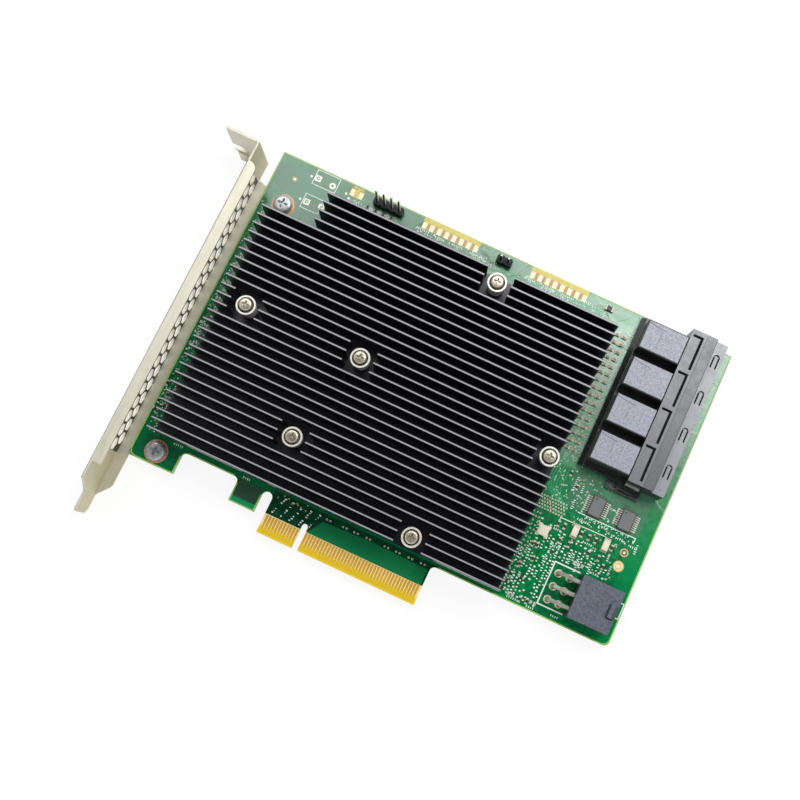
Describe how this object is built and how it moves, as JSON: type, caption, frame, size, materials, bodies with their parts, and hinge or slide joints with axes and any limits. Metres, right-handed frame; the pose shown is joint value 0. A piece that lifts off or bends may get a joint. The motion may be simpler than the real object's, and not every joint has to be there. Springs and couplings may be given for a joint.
{
  "type": "storage controller card",
  "caption": "Full-height storage controller card with a slot bracket, finned heatsink, edge connector, ganged drive ports and a power socket",
  "frame": {"origin": "centre of the key notch on the lower edge of the edge connector, at the component-side face of the board", "axes": "+X along the card away from the slot bracket, +Y up the card from the edge connector, +Z out of the component side; the card lies flat with its components up"},
  "size_m": [0.171, 0.1276, 0.0184],
  "materials": {
    "solder_mask": "satin",
    "nickel_steel": "satin",
    "screw_steel": "polished",
    "black_aluminium": "satin",
    "gold": "satin",
    "copper": "satin",
    "spring_steel": "satin",
    "tin": "satin",
    "black_plastic": "matte",
    "grey_plastic": "matte",
    "slate_plastic": "matte",
    "chip_black": "matte",
    "pad_grey": "matte",
    "ceramic": "satin",
    "resistor_black": "satin"
  },
  "bodies": {
    "root": {"board": "solder_mask", "bracket": "nickel_steel", "bracket_screws": "screw_steel", "clock_can": "tin", "controller_chip_1": "chip_black", "controller_chip_2": "chip_black", "controller_chip_3": "chip_black", "coupling_capacitors": "ceramic", "drive_port_1": "grey_plastic", "drive_port_2": "grey_plastic", "drive_port_3": "grey_plastic", "drive_port_4": "grey_plastic", "edge_contacts_back": "gold", "edge_contacts_front": "gold", "gold_pads": "gold", "heatsink": "black_aluminium", "jumper2_base": "black_plastic", "jumper2_pins": "gold", "jumper4_base": "black_plastic", "jumper4_pins": "gold", "large_capacitors": "ceramic", "port_base": "black_plastic", "port_contacts": "gold", "port_hold_down": "tin", "port_leads": "tin", "port_shell": "grey_plastic", "power_pins": "tin", "power_socket": "slate_plastic", "press_nuts": "tin", "resistors": "resistor_black", "screw_lands": "copper", "small_chip_1": "chip_black", "small_chip_2": "chip_black", "small_chip_leads": "tin", "solder_joints": "tin", "spring_cups": "screw_steel", "spring_screws": "screw_steel", "springs": "spring_steel", "thermal_pad_1": "pad_grey", "thermal_pad_2": "pad_grey", "thermal_pad_3": "pad_grey"}
  },
  "joints": []
}
